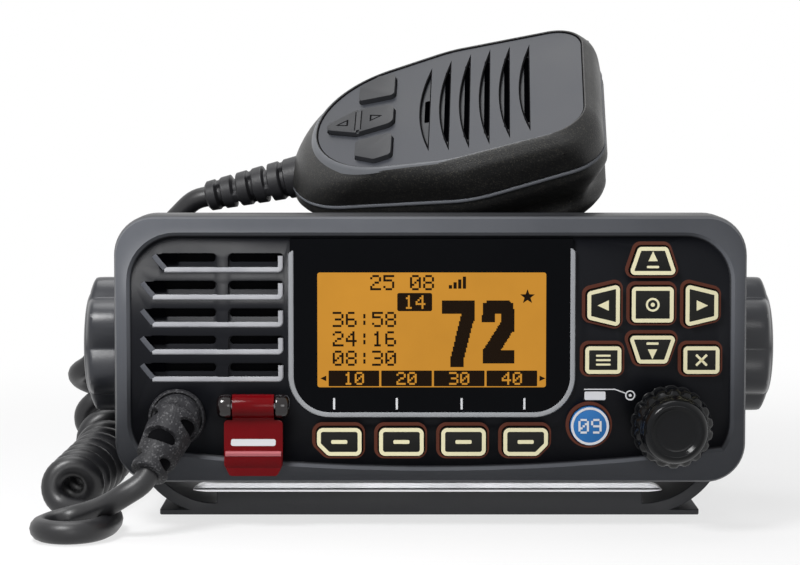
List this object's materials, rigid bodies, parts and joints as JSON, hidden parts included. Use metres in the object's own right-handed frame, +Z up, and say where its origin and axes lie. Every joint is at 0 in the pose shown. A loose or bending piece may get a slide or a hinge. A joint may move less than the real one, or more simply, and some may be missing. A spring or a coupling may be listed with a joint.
{
  "type": "vhf marine radio",
  "caption": "Fixed-mount marine radio on a tilting bracket with clamp knobs, keys, dial, lit display, flip-covered key and a hand microphone on a curly cord.",
  "frame": {"origin": "centre of the underside of the mounting bracket, below the tilting axis, on the surface it is screwed to", "axes": "+Z up, the front of the radio looks along -Y, +X to the right seen from the front; the tilting axis is along X"},
  "size_m": [0.192, 0.143, 0.1251],
  "materials": {
    "bracket_plastic": "fine grained moulded plastic",
    "knob_plastic": "grained moulded plastic",
    "black_rubber": "matt rubber",
    "steel": "turned",
    "panel_plastic": "satin painted plastic",
    "gloss_lens": "polished",
    "lit_display": "clear glass over an amber lit panel",
    "key_plastic": "satin",
    "blue_key": "satin",
    "dial_plastic": "satin",
    "red_cover": "translucent moulded plastic",
    "red_key": "satin",
    "speaker_cloth": "woven",
    "dark_metal": "pressed and lacquered",
    "silicone_mat": "matt silicone",
    "circuit_board": "solder mask",
    "case_metal": "die cast, fine texture paint",
    "brass": "turned",
    "nickel": "plated",
    "mic_shell": "coarse speckled grain",
    "mic_face": "satin",
    "grey_seal": "matt",
    "cord_jacket": "semi-gloss jacket"
  },
  "bodies": {
    "radio": {"front_panel": "panel_plastic", "front_gasket": "black_rubber", "speaker_cloth": "speaker_cloth", "speaker": "dark_metal", "display_lens": "gloss_lens", "lcd_module": "lit_display", "keypad_mat": "silicone_mat", "front_board": "circuit_board", "dial_encoder": "dark_metal", "distress_hinge_lugs": "red_cover", "distress_hinge_pin": "steel", "cord_gland": "black_rubber", "case_body": "case_metal", "knob_inserts": "brass", "main_board": "circuit_board", "board_screws": "steel", "case_screws": "steel", "antenna_socket": "nickel", "gps_socket": "brass", "cable_grommet": "black_rubber", "cord_tail": "cord_jacket", "cord_coil": "cord_jacket", "cord_mic_end": "cord_jacket"},
    "bracket": {"mounting_bracket": "bracket_plastic", "arm_pads": "black_rubber"},
    "left_washer": {"left_knob_washer": "steel"},
    "left_clamp": {"left_knob": "knob_plastic", "left_knob_stud": "steel"},
    "right_washer": {"right_knob_washer": "steel"},
    "right_clamp": {"right_knob": "knob_plastic", "right_knob_stud": "steel"},
    "softkey_1": {"softkey_1": "key_plastic"},
    "softkey_2": {"softkey_2": "key_plastic"},
    "softkey_3": {"softkey_3": "key_plastic"},
    "softkey_4": {"softkey_4": "key_plastic"},
    "key_up": {"key_up": "key_plastic"},
    "key_down": {"key_down": "key_plastic"},
    "key_left": {"key_left": "key_plastic"},
    "key_right": {"key_right": "key_plastic"},
    "key_enter": {"key_enter": "key_plastic"},
    "key_menu": {"key_menu": "key_plastic"},
    "key_clear": {"key_clear": "key_plastic"},
    "key_round": {"key_round": "blue_key"},
    "distress_key": {"distress_key": "red_key"},
    "distress_cover": {"distress_cover": "red_cover"},
    "dial_push": {"dial_plunger": "dial_plastic"},
    "dial": {"dial_knob": "dial_plastic", "dial_shaft": "steel"},
    "microphone": {"mic_front_shell": "mic_shell", "mic_rear_shell": "mic_shell", "mic_seam_gasket": "grey_seal", "mic_face_plate": "mic_face", "mic_board": "circuit_board", "mic_speaker": "dark_metal", "mic_hanger_button": "steel", "mic_strain_relief": "black_rubber"},
    "mic_key_power": {"mic_key_power": "key_plastic"},
    "mic_key_channel": {"mic_key_channel": "key_plastic"},
    "mic_rocker": {"mic_rocker": "key_plastic"},
    "mic_talk_bar": {"mic_talk_bar": "key_plastic"}
  },
  "joints": [
    {"name": "bracket_tilt", "type": "hinge", "parent": "radio", "child": "bracket", "pos_m": [0, 0, 0.041], "axis": [1, 0, 0], "range_deg": [-12, 12]},
    {"name": "left_clamp_advance", "type": "slide", "parent": "radio", "child": "left_washer", "axis": [-1, 0, 0], "range_m": [0, 0.0016]},
    {"name": "left_clamp_turn", "type": "hinge", "parent": "left_washer", "child": "left_clamp", "pos_m": [-0.084, 0, 0.041], "axis": [-1, 0, 0], "range_deg": [0, 720]},
    {"name": "right_clamp_advance", "type": "slide", "parent": "radio", "child": "right_washer", "axis": [1, 0, 0], "range_m": [0, 0.0016]},
    {"name": "right_clamp_turn", "type": "hinge", "parent": "right_washer", "child": "right_clamp", "pos_m": [0.084, 0, 0.041], "axis": [1, 0, 0], "range_deg": [0, 720]},
    {"name": "softkey_1_press", "type": "slide", "parent": "radio", "child": "softkey_1", "axis": [0, 1, 0], "range_m": [0, 0.0008], "stiffness_N_per_m": 900, "springref_m": -0.0003},
    {"name": "softkey_2_press", "type": "slide", "parent": "radio", "child": "softkey_2", "axis": [0, 1, 0], "range_m": [0, 0.0008], "stiffness_N_per_m": 900, "springref_m": -0.0003},
    {"name": "softkey_3_press", "type": "slide", "parent": "radio", "child": "softkey_3", "axis": [0, 1, 0], "range_m": [0, 0.0008], "stiffness_N_per_m": 900, "springref_m": -0.0003},
    {"name": "softkey_4_press", "type": "slide", "parent": "radio", "child": "softkey_4", "axis": [0, 1, 0], "range_m": [0, 0.0008], "stiffness_N_per_m": 900, "springref_m": -0.0003},
    {"name": "key_up_press", "type": "slide", "parent": "radio", "child": "key_up", "axis": [0, 1, 0], "range_m": [0, 0.0008], "stiffness_N_per_m": 900, "springref_m": -0.0003},
    {"name": "key_down_press", "type": "slide", "parent": "radio", "child": "key_down", "axis": [0, 1, 0], "range_m": [0, 0.0008], "stiffness_N_per_m": 900, "springref_m": -0.0003},
    {"name": "key_left_press", "type": "slide", "parent": "radio", "child": "key_left", "axis": [0, 1, 0], "range_m": [0, 0.0008], "stiffness_N_per_m": 900, "springref_m": -0.0003},
    {"name": "key_right_press", "type": "slide", "parent": "radio", "child": "key_right", "axis": [0, 1, 0], "range_m": [0, 0.0008], "stiffness_N_per_m": 900, "springref_m": -0.0003},
    {"name": "key_enter_press", "type": "slide", "parent": "radio", "child": "key_enter", "axis": [0, 1, 0], "range_m": [0, 0.0008], "stiffness_N_per_m": 900, "springref_m": -0.0003},
    {"name": "key_menu_press", "type": "slide", "parent": "radio", "child": "key_menu", "axis": [0, 1, 0], "range_m": [0, 0.0008], "stiffness_N_per_m": 900, "springref_m": -0.0003},
    {"name": "key_clear_press", "type": "slide", "parent": "radio", "child": "key_clear", "axis": [0, 1, 0], "range_m": [0, 0.0008], "stiffness_N_per_m": 900, "springref_m": -0.0003},
    {"name": "key_round_press", "type": "slide", "parent": "radio", "child": "key_round", "axis": [0, 1, 0], "range_m": [0, 0.0008], "stiffness_N_per_m": 900, "springref_m": -0.0003},
    {"name": "distress_key_press", "type": "slide", "parent": "radio", "child": "distress_key", "axis": [0, 1, 0], "range_m": [0, 0.0008], "stiffness_N_per_m": 900, "springref_m": -0.0003},
    {"name": "distress_cover_flip", "type": "hinge", "parent": "radio", "child": "distress_cover", "pos_m": [-0.0436, -0.05675, 0.0308], "axis": [-1, 0, 0], "range_deg": [0, 100], "stiffness_Nm_per_rad": 0.0012, "springref_deg": -20.05},
    {"name": "dial_press", "type": "slide", "parent": "radio", "child": "dial_push", "axis": [0, 1, 0], "range_m": [0, 0.0005], "stiffness_N_per_m": 1200, "springref_m": -0.0003},
    {"name": "dial_turn", "type": "hinge", "parent": "dial_push", "child": "dial", "pos_m": [0.0593, -0.06, 0.0259], "axis": [0, -1, 0], "continuous": true},
    {"name": "microphone_lift", "type": "slide", "parent": "radio", "child": "microphone", "axis": [0, 0, 1], "range_m": [0, 0.05]},
    {"name": "mic_key_power_press", "type": "slide", "parent": "microphone", "child": "mic_key_power", "axis": [0.2717, 0.4992, -0.8228], "range_m": [0, 0.0007], "stiffness_N_per_m": 900, "springref_m": -0.0003},
    {"name": "mic_key_channel_press", "type": "slide", "parent": "microphone", "child": "mic_key_channel", "axis": [0.2717, 0.4992, -0.8228], "range_m": [0, 0.0007], "stiffness_N_per_m": 900, "springref_m": -0.0003},
    {"name": "mic_rocker_tilt", "type": "hinge", "parent": "microphone", "child": "mic_rocker", "pos_m": [-0.01771, 0.01212, 0.09713], "axis": [0.0324, 0.8497, 0.5262], "range_deg": [-3, 3], "stiffness_Nm_per_rad": 0.08},
    {"name": "mic_talk_press", "type": "slide", "parent": "microphone", "child": "mic_talk_bar", "axis": [-0.0324, -0.8497, -0.5262], "range_m": [0, 0.0012], "stiffness_N_per_m": 700, "springref_m": -0.0003}
  ],
  "couplings": [
    {"joint": "left_clamp_turn", "follows": "left_clamp_advance", "rad_per_m": 7854},
    {"joint": "right_clamp_turn", "follows": "right_clamp_advance", "rad_per_m": 7854}
  ]
}
